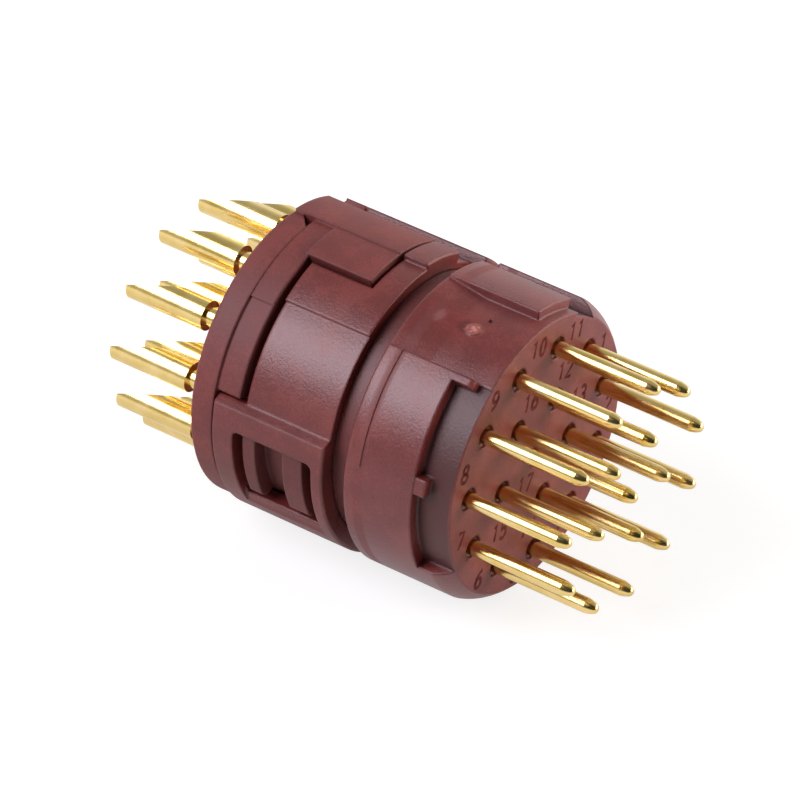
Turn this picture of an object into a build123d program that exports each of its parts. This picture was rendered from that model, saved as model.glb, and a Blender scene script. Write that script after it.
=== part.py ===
from build123d import *
import os
from math import atan2, cos, degrees, radians, sin

os.makedirs("parts", exist_ok=True)

# Moulded insert of a circular connector with 17 male contacts.
# Millimetres. The insert lies with its axis along X: +X is the mating direction, +Z is up, and the origin
# is the centre of the mating face. Angles go round the axis from +Y towards +Z.
# Everything is drawn with the axis along the local Z and turned into place when it is written.

# Contact pattern
OUTER_COUNT = 11
OUTER_CIRCLE_MARGIN = 2.75
FIRST_OUTER_ANGLE = 39.6
INNER_COUNT = 5
INNER_CIRCLE_RADIUS = 3.65
FIRST_INNER_ANGLE = 55.8
INNER_STEP_ANGLE = 66.6

# Contact, from its tip to its solder cup
PIN_RADIUS = 0.5
PIN_REACH = 7.5
PIN_NOSE_LENGTH = 0.8
PIN_NOSE_RADIUS = 0.36
PIN_NOSE_TURN = 25.0
PIN_ROOT_SWELL = 0.02
COLLAR_HEIGHT = 0.28
COLLAR_FRONT_PART = 0.8
COLLAR_REAR_PART = 1.2
SHANK_RADIUS = 0.67
CUP_RADIUS = 1.0
CUP_WALL = 0.27
CUP_LENGTH = 5.77
CUP_FLOOR = 0.77
CUP_GAP = 1.6
CUP_MOUTH_LENGTH = 3.5
CUP_LIP_DROP = 0.25
CUP_OPEN_ANGLE = 50.0

# Fits
CONTACT_CLEARANCE = 0.03
SLEEVE_CLEARANCE = 0.05

# Outside of the body. Lengths count back from the mating face, and depths inwards from the body's outside
BODY_RADIUS = 10.0
NOSE_DEPTH = 0.85
NOSE_LENGTH = 1.3
FRONT_LENGTH = 7.4
GROOVE_WIDTH = 1.6
HUB_DEPTH = 1.2
HUB_LENGTH = 3.15
BODY_LENGTH = 19.2
FLANGE_DEPTH = 0.2
FLANGE_THICKNESS = 1.7
FLANGE_EDGE = 0.2
FLANGE_SLIT = 0.15
CORE_DEPTH = 1.3
EDGE_BREAK = 0.1

# Wells round the pins in the mating face
WELL_GAP = 0.27
WELL_DEPTH = 0.3

# Key on the front moulding, and the channel beside it
KEY_HALF_ANGLE = 10.4
KEY_SETBACK = 0.75
CHANNEL_ANGLE = 13.5
FRONT_CHANNEL_DEPTH = 0.9
REAR_CHANNEL_DEPTH = 0.7

# Low area beside the key, with a ramp up to its rear end
LOW_DEPTH = 0.65
LOW_RAMP_LENGTH = 2.8
LOW_REAR_DEPTH = 0.2
LOW_END_ANGLE = 120.8

# Coding recess in the front moulding, and how far the ridge above it stops behind the mating face
RECESS_START_ANGLE = 123.8
RECESS_END_ANGLE = 203.0
RECESS_LENGTH = 2.4
RECESS_DEPTH = 0.8
RIDGE_SETBACK = 0.95
BLOCK_ANGLE = 164.0
BLOCK_WIDTH = 1.1
BLOCK_LENGTH = 0.8
BLOCK_DEPTH = 0.05

# Fine raised seam round the front moulding
SEAM_TO_REAR = 1.05
SEAM_WIDTH = 0.12
SEAM_HEIGHT = 0.06
SEAM_END_ANGLE = 166.0

# Sprue mark in the low area, and a small pit near it
SPRUE_ANGLE = 100.5
SPRUE_SETBACK = 3.5
SPRUE_RADIUS = 0.5
SPRUE_HEIGHT = 0.05
PIT_ANGLE = 93.5
PIT_SETBACK = 3.0
PIT_RADIUS = 0.17
PIT_DEPTH = 0.12

# Tongue and band of the rear moulding
TONGUE_LENGTH = 6.45
TONGUE_OVERLAP = 0.15
TONGUE_DEPTH = 0.07
TONGUE_GAP = 0.3
TONGUE_END_ANGLE = 101.0
BAND_WIDTH = 1.75
BAND_DEPTH = 0.26
BAND_LOW_DEPTH = 0.36
BAND_STEP_ANGLE = 124.7
BAND_END_ANGLE = 161.5
NOTCH_LENGTH = 0.9
NOTCH_WIDTH = 1.05
NOTCH_DEPTH = 0.7

# Panels and windows of the sleeve
BAND_SLOT = 0.45
UPPER_PANEL_DEPTH = 0.38
LOWER_PANEL_DEPTH = 0.58
PANEL_SPLIT_ANGLE = 120.8
FRAME_ANGLE = 163.0
FRAME_BEVEL_ANGLE = 2.6
LIP_REACH = 0.7
WINDOW_START_ANGLE = 174.0
WINDOW_END_ANGLE = 207.5
WINDOW_FRONT_FRAME = 0.8
WINDOW_REAR_FRAME = 1.55
WINDOW_CORNER = 0.45
WINDOW_BEVEL_DEPTH = 0.4
WINDOW_BEVEL_BEFORE = 2.0
WINDOW_BEVEL_AFTER = 5.0

# Latch ribs inside the windows
RIB_DEPTH = 0.2
FRONT_RIB_WIDTH = 1.45
REAR_RIB_WIDTH = 0.9
FRONT_RIB_GAP = 0.1
REAR_RIB_GAP = 0.7
RIB_END_CLEARANCE = 0.15
RIB_TOP_ROUND = 0.25
RIB_FOOT_ROUND = 0.75
POCKET_DEPTH = 1.65

# How far cuts reach past a piece, and how deep joined bodies sink into each other
OVERCUT = 3.0
OVERLAP = 1.0

# Angles worked out from the sizes above
outer_step = 360.0 / OUTER_COUNT
key_angle = FIRST_OUTER_ANGLE + outer_step
key_start = key_angle - KEY_HALF_ANGLE
key_end = key_angle + KEY_HALF_ANGLE
channel_start = key_start - CHANNEL_ANGLE

# Radii worked out from the sizes above
outer_circle = BODY_RADIUS - OUTER_CIRCLE_MARGIN
face_radius = BODY_RADIUS - NOSE_DEPTH
hub_radius = BODY_RADIUS - HUB_DEPTH
sleeve_bore = hub_radius + SLEEVE_CLEARANCE
low_radius = BODY_RADIUS - LOW_DEPTH
flange_radius = BODY_RADIUS - FLANGE_DEPTH
rear_channel_floor = BODY_RADIUS - REAR_CHANNEL_DEPTH
lower_panel = BODY_RADIUS - LOWER_PANEL_DEPTH
core_radius = BODY_RADIUS - CORE_DEPTH
inside_core = core_radius - OVERLAP
cut_radius = BODY_RADIUS + OVERCUT
root_radius = PIN_RADIUS + PIN_ROOT_SWELL
collar_radius = SHANK_RADIUS + COLLAR_HEIGHT
collar_hole = collar_radius + CONTACT_CLEARANCE

# Distances behind the mating face worked out from the sizes above
sleeve_front = FRONT_LENGTH + GROOVE_WIDTH
hub_rear = FRONT_LENGTH + HUB_LENGTH
flange_front = BODY_LENGTH - FLANGE_THICKNESS
sleeve_rear = flange_front - FLANGE_SLIT
band_front = flange_front - BAND_WIDTH
tongue_front = flange_front - TONGUE_LENGTH
panel_rear = band_front - BAND_SLOT
window_front = sleeve_front + WINDOW_FRONT_FRAME
window_rear = sleeve_rear - WINDOW_REAR_FRAME
front_rib = hub_rear + FRONT_RIB_GAP
rear_rib = window_rear - REAR_RIB_GAP - REAR_RIB_WIDTH
collar_front = hub_rear - COLLAR_FRONT_PART
collar_rear = hub_rear + COLLAR_REAR_PART
cup_front = BODY_LENGTH + CUP_GAP
cup_rear = cup_front + CUP_LENGTH


def mirrored(angle):
    """The angle on the other side of the plane through the axis and the key."""
    return 2 * key_angle - angle


def both_sides(start, end):
    """Two ranges of angles: the given one, and the same on the other side of the key."""
    return (start, end), (mirrored(end), mirrored(start))


def contact_place(number):
    """Radius and angle of a contact. The numbers run clockwise seen from the mating side."""
    if number <= OUTER_COUNT:
        return outer_circle, FIRST_OUTER_ANGLE - (number - 1) * outer_step
    position = number - OUTER_COUNT - 1
    if position == INNER_COUNT:
        return 0.0, 0.0
    half = INNER_COUNT // 2
    turn = (half - position) % INNER_COUNT - half
    return INNER_CIRCLE_RADIUS, FIRST_INNER_ANGLE + turn * INNER_STEP_ANGLE


def disc(radius, front, rear):
    """Round solid on the axis between two distances behind the mating face."""
    return Pos(0, 0, -rear) * Cylinder(radius, rear - front, align=(Align.CENTER, Align.CENTER, Align.MIN))


def sector(inner, outer, front, rear, start, end):
    """Part of a ring between two radii, two distances behind the mating face and two angles."""
    corners = [(inner, -rear), (outer, -rear), (outer, -front), (inner, -front)]
    section = Plane.XZ * make_face(Polyline(*corners, close=True))
    return Rot(0, 0, start) * revolve(section, Axis.Z, revolution_arc=end - start)


def radial_plane(angle, radius, setback):
    """Plane that faces outwards at a point on the body, with its own x along the mating direction."""
    outward = Vector(cos(radians(angle)), sin(radians(angle)), 0)
    return Plane(origin=outward * radius + Vector(0, 0, -setback), x_dir=(0, 0, 1), z_dir=outward)


def at_contacts(shape):
    """Copies of a shape on every contact's axis."""
    copies = []
    for number in range(1, OUTER_COUNT + INNER_COUNT + 2):
        radius, angle = contact_place(number)
        copies.append(Pos(radius * cos(radians(angle)), radius * sin(radians(angle)), 0) * shape)
    return copies


def low_area_cut():
    """What is taken off beside the key: a low area with a ramp at its rear end."""
    section = Polyline(
        (low_radius, OVERCUT),
        (low_radius, LOW_RAMP_LENGTH - FRONT_LENGTH),
        (BODY_RADIUS - LOW_REAR_DEPTH, -FRONT_LENGTH),
        (cut_radius, -FRONT_LENGTH),
        (cut_radius, OVERCUT),
        close=True,
    )
    return Rot(0, 0, key_end) * revolve(
        Plane.XZ * make_face(section), Axis.Z, revolution_arc=LOW_END_ANGLE - key_end
    )


def front_insulator():
    """Front moulding: mating face, key, low area, coding recess, groove and hub."""
    nose = Polyline(
        (0, -FRONT_LENGTH),
        (BODY_RADIUS - EDGE_BREAK, -FRONT_LENGTH),
        (BODY_RADIUS, EDGE_BREAK - FRONT_LENGTH),
        (BODY_RADIUS, -NOSE_LENGTH),
    )
    corner = RadiusArc((BODY_RADIUS, -NOSE_LENGTH), (face_radius, 0), -2 * NOSE_LENGTH)
    back = Polyline((face_radius, 0), (0, 0), (0, -FRONT_LENGTH))
    body = revolve(Plane.XZ * make_face(nose + corner + back), Axis.Z)
    body += disc(hub_radius, FRONT_LENGTH, hub_rear)

    for start, end in both_sides(RECESS_START_ANGLE, RECESS_END_ANGLE):
        body -= sector(BODY_RADIUS - RECESS_DEPTH, cut_radius, -OVERCUT, RECESS_LENGTH, start, end)
    body -= sector(
        BODY_RADIUS - RECESS_DEPTH, cut_radius, -OVERCUT, RIDGE_SETBACK, LOW_END_ANGLE, RECESS_START_ANGLE
    )
    body += sector(face_radius - OVERLAP, BODY_RADIUS, 0, NOSE_LENGTH, key_start, LOW_END_ANGLE)
    body -= low_area_cut()
    body -= sector(low_radius, cut_radius, -OVERCUT, KEY_SETBACK, key_start, key_end)
    channel_floor = BODY_RADIUS - FRONT_CHANNEL_DEPTH
    body -= sector(channel_floor, cut_radius, -OVERCUT, FRONT_LENGTH, channel_start, key_start)

    block = radial_plane(BLOCK_ANGLE, 0, RECESS_LENGTH - BLOCK_LENGTH / 2) * Box(
        BLOCK_LENGTH, BLOCK_WIDTH, BODY_RADIUS - BLOCK_DEPTH, align=(Align.CENTER, Align.CENTER, Align.MIN)
    )
    body += block - disc(face_radius, -OVERCUT, FRONT_LENGTH)
    seam_front = FRONT_LENGTH - SEAM_TO_REAR - SEAM_WIDTH / 2
    seam_radius = BODY_RADIUS + SEAM_HEIGHT
    body += sector(
        face_radius, seam_radius, seam_front, seam_front + SEAM_WIDTH, LOW_END_ANGLE, SEAM_END_ANGLE
    )
    sprue = radial_plane(SPRUE_ANGLE, low_radius, SPRUE_SETBACK)
    body += sprue * Cylinder(SPRUE_RADIUS, 2 * SPRUE_HEIGHT)
    body -= radial_plane(PIT_ANGLE, low_radius, PIT_SETBACK) * Cylinder(PIT_RADIUS, 2 * PIT_DEPTH)

    pocket_floor = BODY_RADIUS - POCKET_DEPTH
    for start, end in both_sides(WINDOW_START_ANGLE, WINDOW_END_ANGLE):
        body -= sector(pocket_floor, cut_radius, window_front, hub_rear + OVERCUT, start, end)

    hole = disc(root_radius + CONTACT_CLEARANCE, -OVERCUT, hub_rear + OVERCUT)
    hole += disc(PIN_RADIUS + WELL_GAP, -OVERCUT, WELL_DEPTH)
    hole += disc(collar_hole, collar_front, hub_rear + OVERCUT)
    for cut in at_contacts(hole):
        body -= cut
    return body


def window_cut(start, end):
    """Opening with rounded corners through the sleeve between two angles."""
    middle = (start + end) / 2
    width = 2 * BODY_RADIUS * sin(radians((end - start) / 2))
    plane = radial_plane(middle, 0, (window_front + window_rear) / 2)
    outline = RectangleRounded(window_rear - window_front, width, WINDOW_CORNER)
    return extrude(plane * outline, cut_radius)


def bevel_cut(angle, low_radius, spread, front, rear):
    """Slanted edge that rises from a low point at one angle to the outside, some degrees further on."""
    low, top, reach = (
        Vector(radius * cos(radians(place)), radius * sin(radians(place)))
        for radius, place in ((low_radius, angle), (BODY_RADIUS, angle + spread), (cut_radius, angle))
    )
    along = top + (top - low) * 2
    outline = make_face(Polyline((low.X, low.Y), (along.X, along.Y), (reach.X, reach.Y), close=True))
    return Pos(0, 0, -rear) * extrude(outline, rear - front)


def latch_sleeve():
    """Sleeve behind the groove, snapped over the rear moulding's latch ribs."""
    body = disc(BODY_RADIUS, sleeve_front, sleeve_rear)
    body = chamfer(body.edges().filter_by(GeomType.CIRCLE), EDGE_BREAK) - disc(sleeve_bore, 0, BODY_LENGTH)

    front_cut, rear_cut = sleeve_front - OVERCUT, sleeve_rear + OVERCUT
    lip_front = sleeve_front - LIP_REACH
    body += sector(sleeve_bore, BODY_RADIUS, lip_front, window_front, mirrored(LOW_END_ANGLE), channel_start)
    upper_panel = BODY_RADIUS - UPPER_PANEL_DEPTH
    body -= sector(upper_panel, cut_radius, front_cut, rear_cut, key_end, PANEL_SPLIT_ANGLE)
    for start, end in both_sides(PANEL_SPLIT_ANGLE, FRAME_ANGLE):
        body -= sector(lower_panel, cut_radius, front_cut, rear_cut, start, end)
    body -= sector(rear_channel_floor, cut_radius, front_cut, rear_cut, channel_start, key_start)
    for side in (1, -1):
        frame, window = FRAME_ANGLE, WINDOW_END_ANGLE
        if side < 0:
            frame, window = mirrored(frame), mirrored(window)
        body -= bevel_cut(frame, lower_panel, side * FRAME_BEVEL_ANGLE, front_cut, rear_cut)
        window -= side * WINDOW_BEVEL_BEFORE
        low, spread = BODY_RADIUS - WINDOW_BEVEL_DEPTH, side * (WINDOW_BEVEL_BEFORE + WINDOW_BEVEL_AFTER)
        body -= bevel_cut(window, low, spread, window_front, window_rear)

    body -= sector(inside_core, cut_radius, panel_rear, rear_cut, key_end, FRAME_ANGLE)
    gap_angle = degrees(TONGUE_GAP / BODY_RADIUS)
    slot_start, slot_end = key_start - gap_angle, TONGUE_END_ANGLE + gap_angle
    body -= sector(inside_core, cut_radius, tongue_front - TONGUE_GAP, rear_cut, slot_start, slot_end)
    for start, end in both_sides(WINDOW_START_ANGLE, WINDOW_END_ANGLE):
        body -= window_cut(start, end)
    return body


def latch_rib(start, end, front, width):
    """Latch rib across a window, with its end towards the key nearly square and its other end well rounded."""
    rib = sector(inside_core, BODY_RADIUS - RIB_DEPTH, front, front + width, start, end)
    towards_key = Vector(cos(radians(key_angle)), sin(radians(key_angle)), 0)
    corners = rib.edges().filter_by(Axis.Z).sort_by(lambda edge: edge.center().X ** 2 + edge.center().Y ** 2)
    rib = fillet(corners[-2:].sort_by(lambda edge: edge.center().dot(towards_key))[0], RIB_FOOT_ROUND)
    return fillet(rib.edges().filter_by(Axis.Z).sort_by(lambda edge: edge.center().dot(towards_key))[-1], RIB_TOP_ROUND)


def rear_insulator():
    """Rear moulding: flange, core, band, tongue and latch ribs."""
    rim_rear = BODY_LENGTH - FLANGE_EDGE
    body = disc(flange_radius, flange_front, BODY_LENGTH)
    body = chamfer(body.edges().group_by(Axis.Z)[0], FLANGE_EDGE)
    body += disc(core_radius, hub_rear, flange_front)
    band, low_band = BODY_RADIUS - BAND_DEPTH, BODY_RADIUS - BAND_LOW_DEPTH
    body += sector(inside_core, band, band_front, flange_front, key_end, BAND_STEP_ANGLE)
    body += sector(inside_core, low_band, band_front, flange_front, BAND_STEP_ANGLE, BAND_END_ANGLE)
    tongue, tongue_rear = BODY_RADIUS - TONGUE_DEPTH, band_front + TONGUE_OVERLAP
    body += sector(inside_core, tongue, tongue_front, tongue_rear, key_end, TONGUE_END_ANGLE)
    body += sector(inside_core, BODY_RADIUS, tongue_front, rim_rear, key_start, key_end)
    far_ridge = mirrored(PANEL_SPLIT_ANGLE)
    body += sector(inside_core, BODY_RADIUS, flange_front, rim_rear, far_ridge, channel_start)
    body -= sector(rear_channel_floor, cut_radius, hub_rear, BODY_LENGTH + OVERCUT, channel_start, key_start)

    notch_plane = radial_plane(key_end, BODY_RADIUS - NOTCH_DEPTH, flange_front)
    notch = make_face(Polyline((0, 0), (-NOTCH_LENGTH, 0), (0, -NOTCH_WIDTH), close=True))
    body -= extrude(notch_plane * notch, OVERCUT)

    end_gap = degrees(RIB_END_CLEARANCE / BODY_RADIUS)
    for start, end in both_sides(WINDOW_START_ANGLE + end_gap, WINDOW_END_ANGLE - end_gap):
        body += latch_rib(start, end, front_rib, FRONT_RIB_WIDTH)
        body += latch_rib(start, end, rear_rib, REAR_RIB_WIDTH)

    hole = disc(SHANK_RADIUS + CONTACT_CLEARANCE, hub_rear - OVERCUT, BODY_LENGTH + OVERCUT)
    hole += disc(collar_hole, hub_rear - OVERCUT, collar_rear)
    for cut in at_contacts(hole):
        body -= cut
    return body


def contact():
    """Turned contact: pin with a rounded nose and a slightly tapered root, collar, shank and solder cup.

    A ball makes the nose. A flatter arc runs from it to the pin and meets the pin at an edge that shows.
    """
    nose_start = PIN_REACH - PIN_NOSE_LENGTH
    nose_centre = PIN_REACH - PIN_NOSE_RADIUS
    turn = radians(PIN_NOSE_TURN)
    nose = [
        (PIN_NOSE_RADIUS * cos(a), nose_centre + PIN_NOSE_RADIUS * sin(a))
        for a in (turn, (turn + radians(90)) / 2, radians(90))
    ]
    back = nose_centre - nose_start
    spread = PIN_NOSE_RADIUS - PIN_RADIUS * cos(turn) + back * sin(turn)
    shift = (PIN_RADIUS**2 + back**2 - PIN_NOSE_RADIUS**2) / (2 * spread)
    flank_radius = PIN_NOSE_RADIUS + shift
    flank_centre = (-shift * cos(turn), nose_centre - shift * sin(turn))
    middle = (turn + atan2(nose_start - flank_centre[1], PIN_RADIUS - flank_centre[0])) / 2
    flank_middle = (flank_centre[0] + flank_radius * cos(middle), flank_centre[1] + flank_radius * sin(middle))
    with BuildSketch(Plane.XZ) as outline:
        with BuildLine():
            Polyline(
                nose[2],
                (0, -cup_rear),
                (CUP_RADIUS, -cup_rear),
                (CUP_RADIUS, -cup_front),
                (SHANK_RADIUS, -cup_front),
                (SHANK_RADIUS, -collar_rear),
                (collar_radius, -collar_rear),
                (collar_radius, -collar_front),
                (root_radius, -collar_front),
                (PIN_RADIUS, 0),
                (PIN_RADIUS, nose_start),
            )
            ThreePointArc((PIN_RADIUS, nose_start), flank_middle, nose[0])
            ThreePointArc(*nose)
        make_face()
    body = revolve(outline.sketch, Axis.Z)
    body -= disc(CUP_RADIUS - CUP_WALL, cup_front + CUP_FLOOR, cup_rear + OVERCUT)

    slope = (CUP_RADIUS + CUP_LIP_DROP) / CUP_MOUTH_LENGTH
    beyond, ahead = OVERCUT, 2 * CUP_MOUTH_LENGTH
    mouth = Polyline(
        (-cup_rear - beyond, -CUP_LIP_DROP - slope * beyond),
        (-cup_rear + ahead, -CUP_LIP_DROP + slope * ahead),
        (-cup_rear - beyond, -CUP_LIP_DROP + slope * ahead),
        close=True,
    )
    mouth_plane = Plane(origin=(0, 0, 0), x_dir=(0, 0, 1), z_dir=(-1, 0, 0))
    cut = extrude(mouth_plane * make_face(mouth), 2 * CUP_RADIUS, both=True)
    return body - Rot(0, 0, CUP_OPEN_ANGLE - 90) * cut


def write(name, shape):
    """Turns a finished piece so that its axis lies along X, and writes it."""
    export_step(Plane.YZ * shape, f"parts/{name}.step")


write("front_insulator", front_insulator())
write("latch_sleeve", latch_sleeve())
write("rear_insulator", rear_insulator())
for index, placed in enumerate(at_contacts(contact()), start=1):
    write(f"contact_{index:02d}", placed)
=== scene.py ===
import logging
from dataclasses import dataclass, field, replace
from enum import Enum
from typing import Any

import bpy
import numpy as np
from mathutils import Matrix, Vector


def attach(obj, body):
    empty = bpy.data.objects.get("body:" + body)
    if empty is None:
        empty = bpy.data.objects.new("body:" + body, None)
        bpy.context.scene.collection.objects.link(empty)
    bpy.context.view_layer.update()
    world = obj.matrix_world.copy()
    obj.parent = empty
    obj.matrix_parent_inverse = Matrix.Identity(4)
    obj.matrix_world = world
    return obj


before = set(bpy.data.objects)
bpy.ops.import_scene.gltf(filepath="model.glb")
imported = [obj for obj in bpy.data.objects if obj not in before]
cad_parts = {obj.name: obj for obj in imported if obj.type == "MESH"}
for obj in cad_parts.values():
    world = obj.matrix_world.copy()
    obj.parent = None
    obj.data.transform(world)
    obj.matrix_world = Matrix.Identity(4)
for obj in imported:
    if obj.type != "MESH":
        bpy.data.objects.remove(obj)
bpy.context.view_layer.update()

MM = 0.001
PER_MM = 1000.0
log = logging.getLogger("contact_insert")

Colour = tuple[float, float, float, float]


class Slot(Enum):
    """Material slots of the record, by name. Nothing in this script uses them."""

    POLYAMIDE = "moulded_polyamide"
    GOLD = "gold_plated_contact"


def linear(hex_colour: str) -> Colour:
    """Turns an sRGB colour into the linear one that the shaders take.

    Args:
        hex_colour: Six hex digits after a hash.

    Returns:
        Linear red, green and blue, and an alpha of 1.
    """
    channels = np.array([int(hex_colour[i : i + 2], 16) for i in (1, 3, 5)]) / 255.0
    curve = np.where(channels <= 0.04045, channels / 12.92, ((channels + 0.055) / 1.055) ** 2.4)
    return (float(curve[0]), float(curve[1]), float(curve[2]), 1.0)


def add_node(
    tree: bpy.types.NodeTree,
    kind: str,
    settings: dict[str, Any] | None = None,
    inputs: dict[Any, Any] | None = None,
) -> bpy.types.Node:
    """Adds a node to a tree, with its settings and links.

    Args:
        tree: The tree that gets the node.
        kind: Blender's name for the kind of node.
        settings: Properties of the node by name.
        inputs: Values by input name or number. An output socket is linked, and anything else is set.

    Returns:
        The node.
    """
    node = tree.nodes.new(kind)
    for name, value in (settings or {}).items():
        setattr(node, name, value)
    for name, value in (inputs or {}).items():
        socket = node.inputs[name]
        if isinstance(value, bpy.types.NodeSocket):
            tree.links.new(value, socket)
        else:
            socket.default_value = value
    return node


def fill_ramp(ramp: bpy.types.ColorRamp, stops: list[tuple[float, Colour]]) -> None:
    """Gives a colour ramp its stops.

    Args:
        ramp: The ramp, with the two stops that it starts with.
        stops: Place and linear colour of each stop, from the first to the last.
    """
    ramp.elements[0].position, ramp.elements[0].color = stops[0]
    ramp.elements[1].position, ramp.elements[1].color = stops[-1]
    for position, colour in stops[1:-1]:
        ramp.elements.new(position).color = colour


def new_material(name: str) -> tuple[bpy.types.Material, bpy.types.NodeTree]:
    """Makes an empty node material.

    Args:
        name: The finish's name.

    Returns:
        The material and its tree, with no nodes in it.
    """
    material = bpy.data.materials.new(name)
    material.use_nodes = True
    material.node_tree.nodes.clear()
    return material, material.node_tree


def cylinder_point(radius: float, angle: float, setback: float) -> np.ndarray:
    """Point on a cylinder round the insert's axis.

    The formula is (-setback, radius * cos(angle), radius * sin(angle)).

    Args:
        radius: Distance from the axis in mm.
        angle: Degrees round the axis, from +Y towards +Z.
        setback: Distance behind the mating face in mm.

    Returns:
        The point in mm.
    """
    turn = np.radians(angle)
    return np.array([-setback, radius * np.cos(turn), radius * np.sin(turn)])


@dataclass(frozen=True)
class MouldedPolyamide:
    """Glass-filled polyamide, injection moulded in a finely eroded tool.

    To the eye that is a satin maroon with a soft broad highlight, a fine grain that sparkles a little in it,
    faint clouds of colour from the melt's flow, and thin pale lines along the convex edges, which are a
    painted highlight that also stands for rubbed wear. The edges are broken by a radius that is too small for
    the solids, so the Bevel node rounds them.

    The mottle is the clouds plus the grain times the speckle. Over its range, the colour goes from the cloud
    colour through the body colour to the bloom colour, which is reached at 1 if the range ends beyond that,
    and the roughness goes from its least to its most.
    """

    body_colour: str = "#6E2C29"
    cloud_colour: str = "#642725"
    bloom_colour: str = "#7A3530"
    # Pale colour of the painted highlight along convex edges, which also stands for rubbed wear.
    edge_wear_and_highlight_colour: str = "#B07A74"
    grain_mm: float = 0.17
    grain_height_mm: float = 0.022
    grain_detail: float = 3.0
    grain_mix: float = 0.7
    speckle: float = 0.75
    ripple_mm: float = 1.1
    ripple_height_mm: float = 0.008
    ripple_detail: float = 2.0
    cloud_mm: float = 2.6
    cloud_detail: float = 4.0
    cloud_mix: float = 0.6
    edge_mm: float = 0.24
    edge_samples: int = 6
    # Reach and samples of the inward occlusion that finds the edges for the painted edge highlight.
    edge_wear_and_highlight_reach_mm: float = 0.1
    edge_wear_and_highlight_samples: int = 8
    roughness: float = 0.32
    roughness_spread: float = 0.1
    ior: float = 1.55
    shade_range: tuple[float, float] = (0.62, 1.13)
    # Occlusion range over which the painted edge highlight fades in, and its largest share.
    edge_wear_and_highlight_range: tuple[float, float] = (0.58, 0.36)
    edge_wear_and_highlight_share: float = 0.6

    def make(
        self, name: str, marks: tuple["SurfaceMark", ...] = (), zones: tuple["CoarseZone", ...] = ()
    ) -> bpy.types.Material:
        """Builds the finish.

        Args:
            name: Name of the material.
            marks: Local marks on the moulding, and painted shade, laid over the body colour.
            zones: Parts of the moulding whose surface is coarser than the rest, some of them also darkened by
                painted shade.

        Returns:
            The material.
        """
        material, tree = new_material(name)
        place = add_node(tree, "ShaderNodeTexCoord").outputs["Object"]
        in_mm = add_node(
            tree, "ShaderNodeMapping", inputs={"Vector": place, "Scale": (PER_MM, PER_MM, PER_MM)}
        ).outputs["Vector"]
        clouds = add_node(
            tree,
            "ShaderNodeTexNoise",
            inputs={
                "Vector": in_mm,
                "Scale": 1 / self.cloud_mm,
                "Detail": self.cloud_detail,
                "Roughness": self.cloud_mix,
            },
        ).outputs["Fac"]
        grain = add_node(
            tree,
            "ShaderNodeTexNoise",
            inputs={
                "Vector": in_mm,
                "Scale": 1 / self.grain_mm,
                "Detail": self.grain_detail,
                "Roughness": self.grain_mix,
            },
        ).outputs["Fac"]
        ripple = add_node(
            tree,
            "ShaderNodeTexNoise",
            inputs={"Vector": in_mm, "Scale": 1 / self.ripple_mm, "Detail": self.ripple_detail},
        ).outputs["Fac"]

        mottle = add_node(
            tree, "ShaderNodeMath", {"operation": "MULTIPLY_ADD"}, {0: grain, 1: self.speckle, 2: clouds}
        ).outputs["Value"]
        darkest, palest = self.shade_range
        shade = add_node(tree, "ShaderNodeValToRGB", inputs={"Fac": mottle})
        stops = [
            (darkest, linear(self.cloud_colour)),
            ((darkest + palest) / 2, linear(self.body_colour)),
            (min(palest, 1.0), linear(self.bloom_colour)),
        ]
        fill_ramp(shade.color_ramp, stops)
        colour = shade.outputs["Color"]
        roughness = add_node(
            tree,
            "ShaderNodeMapRange",
            inputs={
                "Value": mottle,
                "From Min": darkest,
                "From Max": palest,
                "To Min": self.roughness - self.roughness_spread / 2,
                "To Max": self.roughness + self.roughness_spread / 2,
            },
        ).outputs["Result"]
        # Coarser zones, some of them with painted shade that darkens a recess.
        for zone in zones:
            colour, roughness = zone.lay(tree, in_mm, colour, roughness)
        # Local marks, and the painted shade of the sprue's shadow and of a pit.
        for mark in marks:
            colour = mark.paint(tree, in_mm, grain, colour)

        # Painted highlight along convex edges, also standing for rubbed wear: where the inward occlusion
        # finds an edge close by, the pale edge colour is mixed in.
        inner = add_node(
            tree,
            "ShaderNodeAmbientOcclusion",
            {"inside": True, "only_local": True, "samples": self.edge_wear_and_highlight_samples},
            {"Distance": self.edge_wear_and_highlight_reach_mm * MM},
        ).outputs["AO"]
        edge_wear_and_highlight = add_node(
            tree,
            "ShaderNodeMapRange",
            {"interpolation_type": "SMOOTHSTEP"},
            {
                "Value": inner,
                "From Min": self.edge_wear_and_highlight_range[0],
                "From Max": self.edge_wear_and_highlight_range[1],
                "To Min": 0.0,
                "To Max": self.edge_wear_and_highlight_share,
            },
        ).outputs["Result"]
        colour = add_node(
            tree,
            "ShaderNodeMixRGB",
            inputs={"Fac": edge_wear_and_highlight, "Color1": colour, "Color2": linear(self.edge_wear_and_highlight_colour)},
        ).outputs["Color"]

        normal = add_node(
            tree, "ShaderNodeBevel", {"samples": self.edge_samples}, {"Radius": self.edge_mm * MM}
        ).outputs["Normal"]
        for relief, height_mm in ((ripple, self.ripple_height_mm), (grain, self.grain_height_mm)):
            normal = add_node(
                tree,
                "ShaderNodeBump",
                inputs={"Height": relief, "Normal": normal, "Strength": 1.0, "Distance": height_mm * MM},
            ).outputs["Normal"]
        shader = add_node(
            tree,
            "ShaderNodeBsdfPrincipled",
            inputs={"Base Color": colour, "Roughness": roughness, "Normal": normal, "IOR": self.ior},
        )
        add_node(tree, "ShaderNodeOutputMaterial", inputs={"Surface": shader.outputs["BSDF"]})
        return material


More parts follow.
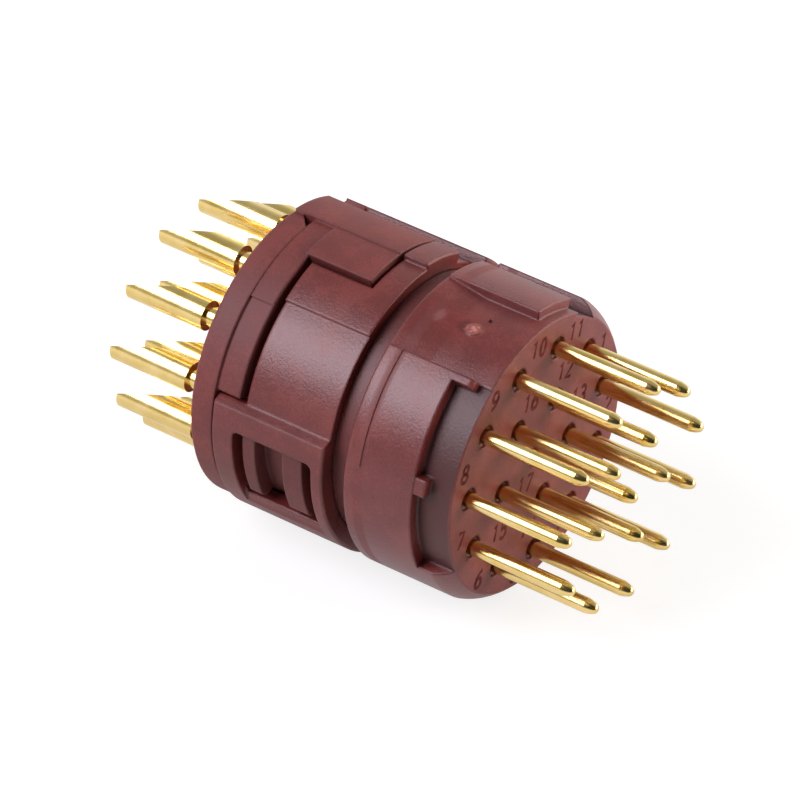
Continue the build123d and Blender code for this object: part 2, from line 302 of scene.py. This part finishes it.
@dataclass(frozen=True)
class SurfaceMark:
    """A soft spot of another colour with a broken edge on a moulding: a real mark such as a scuff or a torn
    sprue, or painted shade such as the sprue's shadow or the dark of a pit.

    The spot is as long as it is wide unless it is drawn out along the insert's axis or across it.
    """

    colour: str
    centre_mm: tuple[float, float, float]
    radius_mm: float
    soft_mm: float
    strength: float
    broken: float = 0.5
    along_axis: float = 1.0

    def paint(
        self,
        tree: bpy.types.NodeTree,
        in_mm: bpy.types.NodeSocket,
        grain: bpy.types.NodeSocket,
        under: bpy.types.NodeSocket,
    ) -> bpy.types.NodeSocket:
        """Lays the mark over a colour.

        The share falls smoothly from 1 to 0 as the distance from the centre, with the grain added to it,
        goes from the radius to the radius plus the soft width. Distances along the axis are divided by the
        drawing out, so the spot is that many times as long as it is wide.

        Args:
            tree: The material's tree.
            in_mm: Object coordinates in mm.
            grain: The moulding's grain, which breaks up the mark's edge.
            under: The colour below.

        Returns:
            The colour with the mark on it.
        """
        drawn = (1 / self.along_axis, 1.0, 1.0)
        place = add_node(
            tree, "ShaderNodeVectorMath", {"operation": "MULTIPLY"}, {0: in_mm, 1: drawn}
        ).outputs["Vector"]
        away = add_node(
            tree,
            "ShaderNodeVectorMath",
            {"operation": "DISTANCE"},
            {0: place, 1: np.multiply(self.centre_mm, drawn).tolist()},
        ).outputs["Value"]
        rough = add_node(
            tree,
            "ShaderNodeMath",
            {"operation": "MULTIPLY_ADD"},
            {0: grain, 1: self.broken * self.radius_mm, 2: away},
        ).outputs["Value"]
        share = add_node(
            tree,
            "ShaderNodeMapRange",
            {"interpolation_type": "SMOOTHSTEP"},
            {
                "Value": rough,
                "From Min": self.radius_mm + self.soft_mm,
                "From Max": self.radius_mm,
                "To Min": 0.0,
                "To Max": self.strength,
            },
        ).outputs["Result"]
        return add_node(
            tree, "ShaderNodeMixRGB", inputs={"Fac": share, "Color1": under, "Color2": linear(self.colour)}
        ).outputs["Color"]


@dataclass(frozen=True)
class CoarseZone:
    """A part of a moulding where the tool's surface was coarser, so that it shines less, with painted shade
    laid over its colour by its strength.

    It lies between two distances behind the mating face and between two distances from the axis.
    """

    setbacks_mm: tuple[float, float]
    roughness: float
    soft_mm: float = 0.2
    radii_mm: tuple[float, float] = (0.0, 20.0)
    step_mm: float = 0.06
    # Colour of the painted shade and how strongly it is laid; a strength of 0 leaves the colour alone.
    colour: str = "#431614"
    strength: float = 0.0

    def lay(
        self,
        tree: bpy.types.NodeTree,
        in_mm: bpy.types.NodeSocket,
        colour: bpy.types.NodeSocket,
        roughness: bpy.types.NodeSocket,
    ) -> tuple[bpy.types.NodeSocket, bpy.types.NodeSocket]:
        """Lays the zone's roughness, and its painted shade, over the moulding's roughness and colour.

        Its share is the product of two smooth steps, one for the distance behind the mating face and one for
        the distance from the axis. Each falls from 1 to 0 as the distance from the middle of its range goes
        from half the range to that plus the soft width or the step.

        Args:
            tree: The material's tree.
            in_mm: Object coordinates in mm.
            colour: The moulding's colour.
            roughness: The moulding's roughness.

        Returns:
            The colour and the roughness with the zone in them.
        """
        ahead = add_node(tree, "ShaderNodeSeparateXYZ", inputs={"Vector": in_mm}).outputs["X"]
        behind = add_node(
            tree, "ShaderNodeMath", {"operation": "MULTIPLY"}, {0: ahead, 1: -1.0}
        ).outputs["Value"]
        across = add_node(
            tree, "ShaderNodeVectorMath", {"operation": "MULTIPLY"}, {0: in_mm, 1: (0.0, 1.0, 1.0)}
        ).outputs["Vector"]
        radius = add_node(tree, "ShaderNodeVectorMath", {"operation": "LENGTH"}, {0: across}).outputs["Value"]
        shares = []
        for place, (near, far), soft in (
            (behind, self.setbacks_mm, self.soft_mm),
            (radius, self.radii_mm, self.step_mm),
        ):
            offset = add_node(
                tree, "ShaderNodeMath", {"operation": "SUBTRACT"}, {0: place, 1: (near + far) / 2}
            ).outputs["Value"]
            away = add_node(tree, "ShaderNodeMath", {"operation": "ABSOLUTE"}, {0: offset}).outputs["Value"]
            half = (far - near) / 2
            shares.append(
                add_node(
                    tree,
                    "ShaderNodeMapRange",
                    {"interpolation_type": "SMOOTHSTEP"},
                    {"Value": away, "From Min": half + soft, "From Max": half, "To Min": 0.0, "To Max": 1.0},
                ).outputs["Result"]
            )
        share = add_node(
            tree, "ShaderNodeMath", {"operation": "MULTIPLY"}, {0: shares[0], 1: shares[1]}
        ).outputs["Value"]
        # Painted shade: the zone's colour is mixed in by its share times the strength.
        darker = add_node(
            tree, "ShaderNodeMath", {"operation": "MULTIPLY"}, {0: share, 1: self.strength}
        ).outputs["Value"]
        new_colour = add_node(
            tree, "ShaderNodeMixRGB", inputs={"Fac": darker, "Color1": colour, "Color2": linear(self.colour)}
        ).outputs["Color"]
        new_roughness = add_node(
            tree, "ShaderNodeMix", {"data_type": "FLOAT"}, {0: share, 2: roughness, 3: self.roughness}
        ).outputs[0]
        return new_colour, new_roughness


@dataclass(frozen=True)
class EngravedShadow:
    """The bottom of an engraved digit.

    To the eye that is the same polyamide, but dull and dark because little light gets in.
    """

    colour: str = "#451613"
    light_colour: str = "#6E2E28"
    patch_mm: float = 0.3
    patch_detail: float = 2.0
    patch_range: tuple[float, float] = (0.35, 0.75)
    roughness: float = 0.7
    specular: float = 0.15

    def make(self, name: str) -> bpy.types.Material:
        """Builds the finish.

        Args:
            name: Name of the material.

        Returns:
            The material.
        """
        material, tree = new_material(name)
        place = add_node(tree, "ShaderNodeTexCoord").outputs["Object"]
        patches = add_node(
            tree,
            "ShaderNodeTexNoise",
            inputs={"Vector": place, "Scale": PER_MM / self.patch_mm, "Detail": self.patch_detail},
        ).outputs["Fac"]
        darkest, palest = self.patch_range
        shade = add_node(tree, "ShaderNodeValToRGB", inputs={"Fac": patches})
        fill_ramp(shade.color_ramp, [(darkest, linear(self.colour)), (palest, linear(self.light_colour))])
        shader = add_node(
            tree,
            "ShaderNodeBsdfPrincipled",
            inputs={
                "Base Color": shade.outputs["Color"],
                "Roughness": self.roughness,
                "Specular IOR Level": self.specular,
            },
        )
        add_node(tree, "ShaderNodeOutputMaterial", inputs={"Surface": shader.outputs["BSDF"]})
        return material


@dataclass(frozen=True)
class GoldPlate:
    """Hard gold plated on turned brass.

    To the eye that is a bright warm metal with sharp reflections drawn out a little by the turning marks,
    and a slightly paler or redder tone from place to place where the plate is thinner.
    """

    colour: str = "#F7DC97"
    thin_colour: str = "#E9CC79"
    patch_mm: float = 1.4
    patch_detail: float = 3.0
    patch_range: tuple[float, float] = (0.35, 0.65)
    turning_mm: float = 0.14
    turning_across: float = 0.3
    turning_detail: float = 2.0
    turning_height_mm: float = 0.00008
    roughness: float = 0.22
    roughness_spread: float = 0.06

    def make(self, name: str) -> bpy.types.Material:
        """Builds the finish.

        Args:
            name: Name of the material.

        Returns:
            The material.
        """
        material, tree = new_material(name)
        place = add_node(tree, "ShaderNodeTexCoord").outputs["Object"]
        patches = add_node(
            tree,
            "ShaderNodeTexNoise",
            inputs={"Vector": place, "Scale": PER_MM / self.patch_mm, "Detail": self.patch_detail},
        ).outputs["Fac"]
        across = self.turning_across * PER_MM
        drawn_out = add_node(
            tree,
            "ShaderNodeMapping",
            inputs={"Vector": place, "Scale": (PER_MM / self.turning_mm, across, across)},
        ).outputs["Vector"]
        turning = add_node(
            tree,
            "ShaderNodeTexNoise",
            inputs={"Vector": drawn_out, "Scale": 1.0, "Detail": self.turning_detail},
        ).outputs["Fac"]
        thinnest, thickest = self.patch_range
        shade = add_node(tree, "ShaderNodeValToRGB", inputs={"Fac": patches})
        fill_ramp(shade.color_ramp, [(thinnest, linear(self.thin_colour)), (thickest, linear(self.colour))])
        roughness = add_node(
            tree,
            "ShaderNodeMapRange",
            inputs={
                "Value": patches,
                "From Min": thinnest,
                "From Max": thickest,
                "To Min": self.roughness - self.roughness_spread / 2,
                "To Max": self.roughness + self.roughness_spread / 2,
            },
        ).outputs["Result"]
        grooved = add_node(
            tree,
            "ShaderNodeBump",
            inputs={"Height": turning, "Strength": 1.0, "Distance": self.turning_height_mm * MM},
        ).outputs["Normal"]
        shader = add_node(
            tree,
            "ShaderNodeBsdfPrincipled",
            inputs={
                "Base Color": shade.outputs["Color"],
                "Metallic": 1.0,
                "Roughness": roughness,
                "Normal": grooved,
            },
        )
        add_node(tree, "ShaderNodeOutputMaterial", inputs={"Surface": shader.outputs["BSDF"]})
        return material


def dress(node: str, material: bpy.types.Material) -> None:
    """Gives a CAD node its finish.

    Args:
        node: Name of the node.
        material: The finish.
    """
    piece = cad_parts[node]
    piece.data.materials.clear()
    piece.data.materials.append(material)
    log.info("dressed %s with %s", node, material.name)


def surface_piece(
    name: str, points: np.ndarray, faces: np.ndarray, material: bpy.types.Material
) -> bpy.types.Object:
    """Makes a piece of the object from whole arrays of points and faces.

    Args:
        name: Name of the piece.
        points: Points in mm, one row each.
        faces: Corner numbers, one row of four for each face.
        material: The piece's finish.

    Returns:
        The piece, riding on the insert.
    """
    mesh = bpy.data.meshes.new(name)
    mesh.from_pydata((points * MM).tolist(), [], faces.tolist())
    mesh.validate()
    mesh.materials.append(material)
    mesh.update()
    piece = bpy.data.objects.new(name, mesh)
    bpy.context.scene.collection.objects.link(piece)
    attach(piece, "root")
    log.info("made %s: %d points, %d faces", name, len(points), len(faces))
    return piece


ARC_POINTS = 25
DIGIT_WIDTH = 0.56
DIGIT_ADVANCE = 0.78


def arc(centre: tuple[float, float], radii: tuple[float, float], start: float, end: float) -> np.ndarray:
    """Part of an ellipse as a stroke of a digit.

    The formula is centre + (radius_x * cos(angle), radius_y * sin(angle)) for angles from start to end.

    Args:
        centre: The ellipse's centre, as shares of the digit's height.
        radii: Its half width and half height, as shares of the digit's height.
        start: First angle in degrees.
        end: Last angle in degrees.

    Returns:
        Points along the stroke, one row each.
    """
    angles = np.radians(np.linspace(start, end, ARC_POINTS))
    return np.stack([centre[0] + radii[0] * np.cos(angles), centre[1] + radii[1] * np.sin(angles)], axis=1)


def line(*corners: tuple[float, float]) -> np.ndarray:
    """Straight runs of a digit, from corner to corner."""
    return np.array(corners, float)


DIGIT_STROKES: dict[str, list[np.ndarray]] = {
    "0": [arc((0.28, 0.5), (0.24, 0.5), 90, 450)],
    "1": [line((0.1, 0.8), (0.3, 1.0), (0.3, 0.0))],
    "2": [np.vstack([arc((0.28, 0.73), (0.25, 0.27), 165, -40), line((0.03, 0.0), (0.55, 0.0))])],
    "3": [np.vstack([arc((0.27, 0.75), (0.23, 0.25), 150, -90), arc((0.27, 0.26), (0.27, 0.26), 90, -150)])],
    "4": [line((0.42, 0.0), (0.42, 1.0), (0.02, 0.3), (0.58, 0.3))],
    "5": [
        np.vstack([line((0.52, 1.0), (0.1, 1.0), (0.06, 0.55)), arc((0.27, 0.32), (0.27, 0.32), 125, -140)])
    ],
    "6": [arc((0.28, 0.3), (0.26, 0.3), 180, 540), arc((0.62, 0.3), (0.6, 0.72), 100, 180)],
    "7": [line((0.02, 1.0), (0.54, 1.0), (0.2, 0.0))],
    "8": [arc((0.28, 0.76), (0.21, 0.24), -90, 270), arc((0.28, 0.26), (0.27, 0.26), 90, 450)],
    "9": [arc((0.28, 0.7), (0.26, 0.3), 0, 360), arc((-0.06, 0.7), (0.6, 0.72), 0, -80)],
}


def ribbon(path: np.ndarray, width: float, height: float) -> tuple[np.ndarray, np.ndarray]:
    """Carries a low trapezoid along a stroke, as a closed strip.

    At each point of the path, the strip's four corners are the point plus or minus half the width across the
    path, with the upper two drawn in by a quarter of the width and raised by the height. The direction across
    is the path's own direction, averaged over its two neighbours, turned a quarter.

    Args:
        path: Points of the stroke in mm, one row of two each.
        width: The strip's width in mm.
        height: How far it stands over the face in mm.

    Returns:
        Points as rows of (across, up, out) in mm, and faces as rows of four corner numbers.
    """
    steps = np.diff(path, axis=0)
    steps /= np.linalg.norm(steps, axis=1, keepdims=True)
    along = np.vstack([steps[:1], steps[:-1] + steps[1:], steps[-1:]])
    along /= np.linalg.norm(along, axis=1, keepdims=True)
    across = np.stack([along[:, 1], -along[:, 0]], axis=1)
    offsets = np.array([0.5, 0.25, -0.25, -0.5]) * width
    raised = np.array([0.0, height, height, 0.0])
    flat = path[:, None, :] + across[:, None, :] * offsets[None, :, None]
    points = np.concatenate([flat, np.broadcast_to(raised[None, :, None], (len(path), 4, 1))], axis=2)
    row, column = np.meshgrid(np.arange(len(path) - 1), np.arange(4), indexing="ij")
    ahead = (column + 1) % 4
    here, after = row * 4, (row + 1) * 4
    sides = np.stack([here + column, after + column, after + ahead, here + ahead], axis=-1)
    last = (len(path) - 1) * 4
    ends = np.array([[0, 1, 2, 3], [last + 3, last + 2, last + 1, last]])
    return points.reshape(-1, 3), np.vstack([sides.reshape(-1, 4), ends])


@dataclass
class FrontMoulding:
    """Front moulding: mating face with its engraved contact numbers, key, low area and coding recess.

    Its coarser zones are a witness band round it, the mating face, the floor of the recess and the groove;
    the floor of the recess and the groove are also darkened by painted shade.
    """

    node: str = "front_insulator"
    digit_height: float = 1.15
    digit_line: float = 0.27
    digit_raise: float = 0.012
    digit_up_angle: float = 72.3
    low_radius: float = 9.35
    sprue_angle: float = 100.5
    sprue_setback: float = 3.5
    sprue_tear: float = 0.6
    pit_angle: float = 93.5
    pit_setback: float = 3.0
    scuff_angle: float = 101.2
    scuff_setback: float = 5.9
    zones: tuple[CoarseZone, ...] = (
        CoarseZone((6.13, 6.57), roughness=0.5, soft_mm=0.25),
        CoarseZone((-0.05, 0.05), roughness=0.48, soft_mm=0.05),
        # Floor of the recess: coarser, and darkened by painted shade.
        CoarseZone((0.2, 2.6), roughness=0.45, soft_mm=0.15, radii_mm=(8.5, 9.22), strength=0.9),
        # Groove: coarser, and lightly darkened by painted shade.
        CoarseZone((7.6, 9.0), roughness=0.48, soft_mm=0.1, radii_mm=(8.0, 8.9), strength=0.35),
    )
    number_places: dict[str, tuple[float, float]] = field(
        default_factory=lambda: {
            "1": (8.4, 30.0),
            "2": (8.0, 352.5),
            "3": (8.2, 319.5),
            "4": (8.2, 287.0),
            "5": (8.2, 254.5),
            "6": (8.4, 224.0),
            "7": (8.15, 190.8),
            "8": (8.25, 156.0),
            "9": (8.3, 122.1),
            "10": (8.1, 88.4),
            "11": (8.2, 58.4),
            "12": (5.6, 56.2),
            "13": (4.95, 20.0),
            "14": (5.3, 262.0),
            "15": (5.2, 222.5),
            "16": (4.5, 97.0),
            "17": (1.95, 234.8),
        }
    )

    def marks(self) -> tuple[SurfaceMark, ...]:
        """Lists the marks in the low area: a torn sprue with its flush and its painted shadow, the painted
        shade in a pit, and a scuff.

        Returns:
            The marks, in the order in which they are painted.
        """
        sprue = self.low_point(self.sprue_angle, self.sprue_setback)
        shadow = self.low_point(self.sprue_angle, self.sprue_setback + self.sprue_tear)
        scuff = self.low_point(self.scuff_angle, self.scuff_setback)
        pit = self.low_point(self.pit_angle, self.pit_setback)
        return (
            SurfaceMark("#7C2C27", shadow, radius_mm=0.6, soft_mm=1.2, strength=0.5),
            SurfaceMark(
                "#8E5B57", scuff, radius_mm=0.75, soft_mm=0.6, strength=0.6, broken=1.5, along_axis=0.6
            ),
            # Painted shade in the pit.
            SurfaceMark("#6A211C", pit, radius_mm=0.22, soft_mm=0.14, strength=0.9),
            # Painted shadow of the torn sprue.
            SurfaceMark("#5A1712", shadow, radius_mm=0.4, soft_mm=0.4, strength=0.85),
            SurfaceMark(
                "#94504A", sprue, radius_mm=0.62, soft_mm=0.25, strength=1.0, broken=0.9, along_axis=1.3
            ),
            SurfaceMark(
                "#C88576", sprue, radius_mm=0.7, soft_mm=0.12, strength=0.8, broken=1.6, along_axis=1.3
            ),
        )

    def low_point(self, angle: float, setback: float) -> tuple[float, float, float]:
        """Point on the low area.

        Args:
            angle: Degrees round the axis.
            setback: Distance behind the mating face in mm.

        Returns:
            The point in mm.
        """
        along, across, up = cylinder_point(self.low_radius, angle, setback).tolist()
        return along, across, up

    def dress(self, plastic: MouldedPolyamide) -> None:
        """Gives the moulding its finish with the local marks and the painted shade.

        Args:
            plastic: The moulded finish.
        """
        finish = plastic.make("satin_moulded_polyamide_front", self.marks(), self.zones)
        dress(self.node, finish)

    def number_strokes(self, text: str, radius: float, angle: float) -> list[tuple[np.ndarray, np.ndarray]]:
        """Strips of one contact number on the mating face.

        A stroke's point (across, up), as a share of the digit's height, goes to the number's centre plus
        across along the face's own right and up along the direction of the key.

        Args:
            text: The number.
            radius: Distance of its middle from the axis in mm.
            angle: Degrees of its middle round the axis.

        Returns:
            Points in mm and faces of each strip.
        """
        up = cylinder_point(1.0, self.digit_up_angle, 0.0)
        right = np.cross(up, np.array([1.0, 0.0, 0.0]))
        basis = np.stack([right, up, np.array([1.0, 0.0, 0.0])])
        middle = cylinder_point(radius, angle, 0.0)
        half_width = (DIGIT_ADVANCE * (len(text) - 1) + DIGIT_WIDTH) / 2
        strips = []
        for place, digit in enumerate(text):
            for stroke in DIGIT_STROKES[digit]:
                path = (stroke + np.array([place * DIGIT_ADVANCE - half_width, -0.5])) * self.digit_height
                points, faces = ribbon(path, self.digit_line, self.digit_raise)
                strips.append((middle + points @ basis, faces))
        return strips

    def build_numbers(self, finish: EngravedShadow) -> bpy.types.Object:
        """Makes the seventeen contact numbers as one piece: thin dark strips on the face that carry the
        painted shade of the engraving.

        Args:
            finish: The painted shade at the bottom of the engraving.

        Returns:
            The piece.
        """
        strips = [
            strip
            for text, (radius, angle) in self.number_places.items()
            for strip in self.number_strokes(text, radius, angle)
        ]
        starts = np.cumsum([0] + [len(points) for points, _ in strips[:-1]])
        points = np.vstack([points for points, _ in strips])
        faces = np.vstack([faces + start for (_, faces), start in zip(strips, starts)])
        return surface_piece(
            "contact_numbers", points, faces, finish.make("engraved_polyamide_painted_shade")
        )


@dataclass
class RearMouldings:
    """The latch sleeve, and the rear moulding that it snaps over, whose tool had a coarser finish.

    The sleeve's coarser zone is the frame of its windows, and the rear moulding's is the ribs inside them,
    which are also darkened by painted shade.
    """

    sleeve: str = "latch_sleeve"
    rear: str = "rear_insulator"
    rear_roughness: float = 0.6
    sleeve_zones: tuple[CoarseZone, ...] = (
        CoarseZone((9.0, 17.5), roughness=0.46, soft_mm=0.1, radii_mm=(9.9, 10.1)),
    )
    rear_zones: tuple[CoarseZone, ...] = (
        # Ribs inside the windows: coarser, and darkened by painted shade.
        CoarseZone((9.9, 15.8), roughness=0.6, soft_mm=0.1, radii_mm=(0.0, 9.83), strength=0.4),
    )

    def dress(self, plastic: MouldedPolyamide) -> None:
        """Gives each moulding its finish.

        Args:
            plastic: The moulded finish.
        """
        satin = plastic.make("satin_moulded_polyamide", zones=self.sleeve_zones)
        dress(self.sleeve, satin)
        duller = replace(plastic, roughness=self.rear_roughness)
        dress(self.rear, duller.make("dull_moulded_polyamide", zones=self.rear_zones))


@dataclass
class Contacts:
    """The seventeen turned and plated contacts."""

    count: int = 17

    def dress(self, plate: GoldPlate) -> None:
        """Gives every contact the plated finish.

        Args:
            plate: The plated finish.
        """
        finish = plate.make("gold_plate_on_turned_brass")
        for number in range(1, self.count + 1):
            dress(f"contact_{number:02d}", finish)


@dataclass(frozen=True)
class Softbox:
    """A square soft lamp that points at the insert."""

    name: str
    direction: tuple[float, float, float]
    distance: float
    width: float
    height: float
    watts: float
    colour: str = "#FFFFFF"

    def place(self, aim: Vector) -> bpy.types.Object:
        """Puts the lamp in the scene.

        Args:
            aim: Point that the lamp faces, in metres.

        Returns:
            The lamp.
        """
        data = bpy.data.lights.new(self.name, "AREA")
        data.shape = "RECTANGLE"
        data.size, data.size_y = self.width, self.height
        data.energy = self.watts
        data.color = linear(self.colour)[:3]
        lamp = bpy.data.objects.new(self.name, data)
        bpy.context.scene.collection.objects.link(lamp)
        away = Vector(self.direction).normalized()
        lamp.location = aim + away * self.distance
        lamp.rotation_mode = "QUATERNION"
        lamp.rotation_quaternion = away.to_track_quat("Z", "Y")
        return lamp


@dataclass
class Studio:
    """Pale floor, soft lamps and the camera of the photograph."""

    floor_level: float = -10.0
    floor_size: float = 4000.0
    floor_colour: str = "#E6E6E6"
    lifted_colour: str = "#999999"
    floor_glow: float = 0.78
    reflected_share: float = 0.35
    opening_direction: tuple[float, float, float] = (0.457, -0.642, 0.616)
    room_levels: tuple[tuple[float, float], ...] = (
        (-1.0, 1.0),
        (-0.6, 1.0),
        (-0.25, 0.52),
        (0.2, 0.36),
        (0.5, 0.42),
        (0.7, 0.1),
        (0.85, 0.03),
    )
    camera_place: tuple[float, float, float] = (184.08, -272.67, 261.25)
    camera_right: tuple[float, float, float] = (0.8144, 0.5803, 0.0)
    camera_down: tuple[float, float, float] = (0.3573, -0.5014, -0.7880)
    camera_lens: float = 308.32
    camera_sensor: float = 36.0
    camera_clip: tuple[float, float] = (0.01, 20.0)
    aim: tuple[float, float, float] = (-8.0, 0.0, 0.0)
    lamps: tuple[Softbox, ...] = (
        Softbox(
            "key_softbox",
            (-0.457, -0.57, 0.684),
            distance=0.45,
            width=0.275,
            height=0.32,
            watts=1.95,
            colour="#F8F3FF",
        ),
        Softbox(
            "fill_softbox",
            (0.72, 0.62, 0.26),
            distance=0.6,
            width=0.8,
            height=0.3,
            watts=4.6,
            colour="#FFF6EE",
        ),
    )

    def build_floor(self) -> None:
        """Lays the floor: white to the camera, partly so to reflections, with the insert's shadow on it."""
        half = self.floor_size * MM / 2
        level = self.floor_level * MM
        mesh = bpy.data.meshes.new("floor")
        mesh.from_pydata(
            [(x, y, level) for x, y in ((-half, -half), (half, -half), (half, half), (-half, half))],
            [],
            [(0, 1, 2, 3)],
        )
        material, tree = new_material("pale_paper_floor")
        rays = add_node(tree, "ShaderNodeLightPath").outputs
        mirrored = add_node(
            tree,
            "ShaderNodeMath",
            {"operation": "MAXIMUM"},
            {0: rays["Is Glossy Ray"], 1: rays["Is Transmission Ray"]},
        ).outputs["Value"]
        seen = add_node(
            tree,
            "ShaderNodeMath",
            {"operation": "MULTIPLY_ADD", "use_clamp": True},
            {0: mirrored, 1: self.reflected_share, 2: rays["Is Camera Ray"]},
        ).outputs["Value"]
        paper = add_node(tree, "ShaderNodeBsdfDiffuse", inputs={"Color": linear(self.floor_colour)})
        shaded = add_node(tree, "ShaderNodeBsdfDiffuse", inputs={"Color": linear(self.lifted_colour)})
        glow = add_node(tree, "ShaderNodeEmission", inputs={"Strength": self.floor_glow})
        lifted = add_node(
            tree, "ShaderNodeAddShader", inputs={0: shaded.outputs["BSDF"], 1: glow.outputs["Emission"]}
        )
        surface = add_node(
            tree,
            "ShaderNodeMixShader",
            inputs={0: seen, 1: paper.outputs["BSDF"], 2: lifted.outputs["Shader"]},
        )
        add_node(tree, "ShaderNodeOutputMaterial", inputs={"Surface": surface.outputs["Shader"]})
        mesh.materials.append(material)
        floor = bpy.data.objects.new("floor", mesh)
        bpy.context.scene.collection.objects.link(floor)

    def build_world(self) -> None:
        """Sets a light tent that is open on one side.

        The level depends on the cosine of the angle to the opening's direction: it is white behind the
        insert, grey overhead and dark in the opening.
        """
        world = bpy.data.worlds.new("light_tent")
        bpy.context.scene.world = world
        world.use_nodes = True
        tree = world.node_tree
        tree.nodes.clear()
        direction = add_node(tree, "ShaderNodeTexCoord").outputs["Generated"]
        towards = add_node(
            tree,
            "ShaderNodeVectorMath",
            {"operation": "DOT_PRODUCT"},
            {0: direction, 1: self.opening_direction},
        ).outputs["Value"]
        half = add_node(
            tree, "ShaderNodeMath", {"operation": "MULTIPLY_ADD"}, {0: towards, 1: 0.5, 2: 0.5}
        ).outputs["Value"]
        wall = add_node(tree, "ShaderNodeValToRGB", inputs={"Fac": half})
        stops = [((cosine + 1) / 2, (level, level, level, 1.0)) for cosine, level in self.room_levels]
        fill_ramp(wall.color_ramp, stops)
        room = add_node(tree, "ShaderNodeBackground", inputs={"Color": wall.outputs["Color"]})
        add_node(tree, "ShaderNodeOutputWorld", inputs={"Surface": room.outputs["Background"]})

    def build_camera(self) -> None:
        """Places the camera of the photograph, from its right and down directions and its place."""
        data = bpy.data.cameras.new("camera")
        data.sensor_width, data.lens = self.camera_sensor, self.camera_lens
        data.clip_start, data.clip_end = self.camera_clip
        camera = bpy.data.objects.new("camera", data)
        bpy.context.scene.collection.objects.link(camera)
        right, up = Vector(self.camera_right).normalized(), -Vector(self.camera_down).normalized()
        turned = Matrix((right, up, right.cross(up))).transposed().to_4x4()
        camera.matrix_world = Matrix.Translation(Vector(self.camera_place) * MM) @ turned
        bpy.context.scene.camera = camera

    def build(self) -> None:
        """Builds the floor, the surround, the lamps and the camera."""
        self.build_floor()
        self.build_world()
        for lamp in self.lamps:
            lamp.place(Vector(self.aim) * MM)
        self.build_camera()
        bpy.context.scene.view_settings.view_transform = "Standard"
        log.info("built the studio with %d lamps", len(self.lamps))


def main() -> None:
    """Dresses the CAD nodes, adds the contact numbers and builds the studio."""
    logging.basicConfig(level=logging.INFO, format="%(name)s: %(message)s")
    plastic = MouldedPolyamide()
    front = FrontMoulding()
    front.dress(plastic)
    front.build_numbers(EngravedShadow())
    RearMouldings().dress(plastic)
    Contacts().dress(GoldPlate())
    Studio().build()


if __name__ == "__main__":
    main()
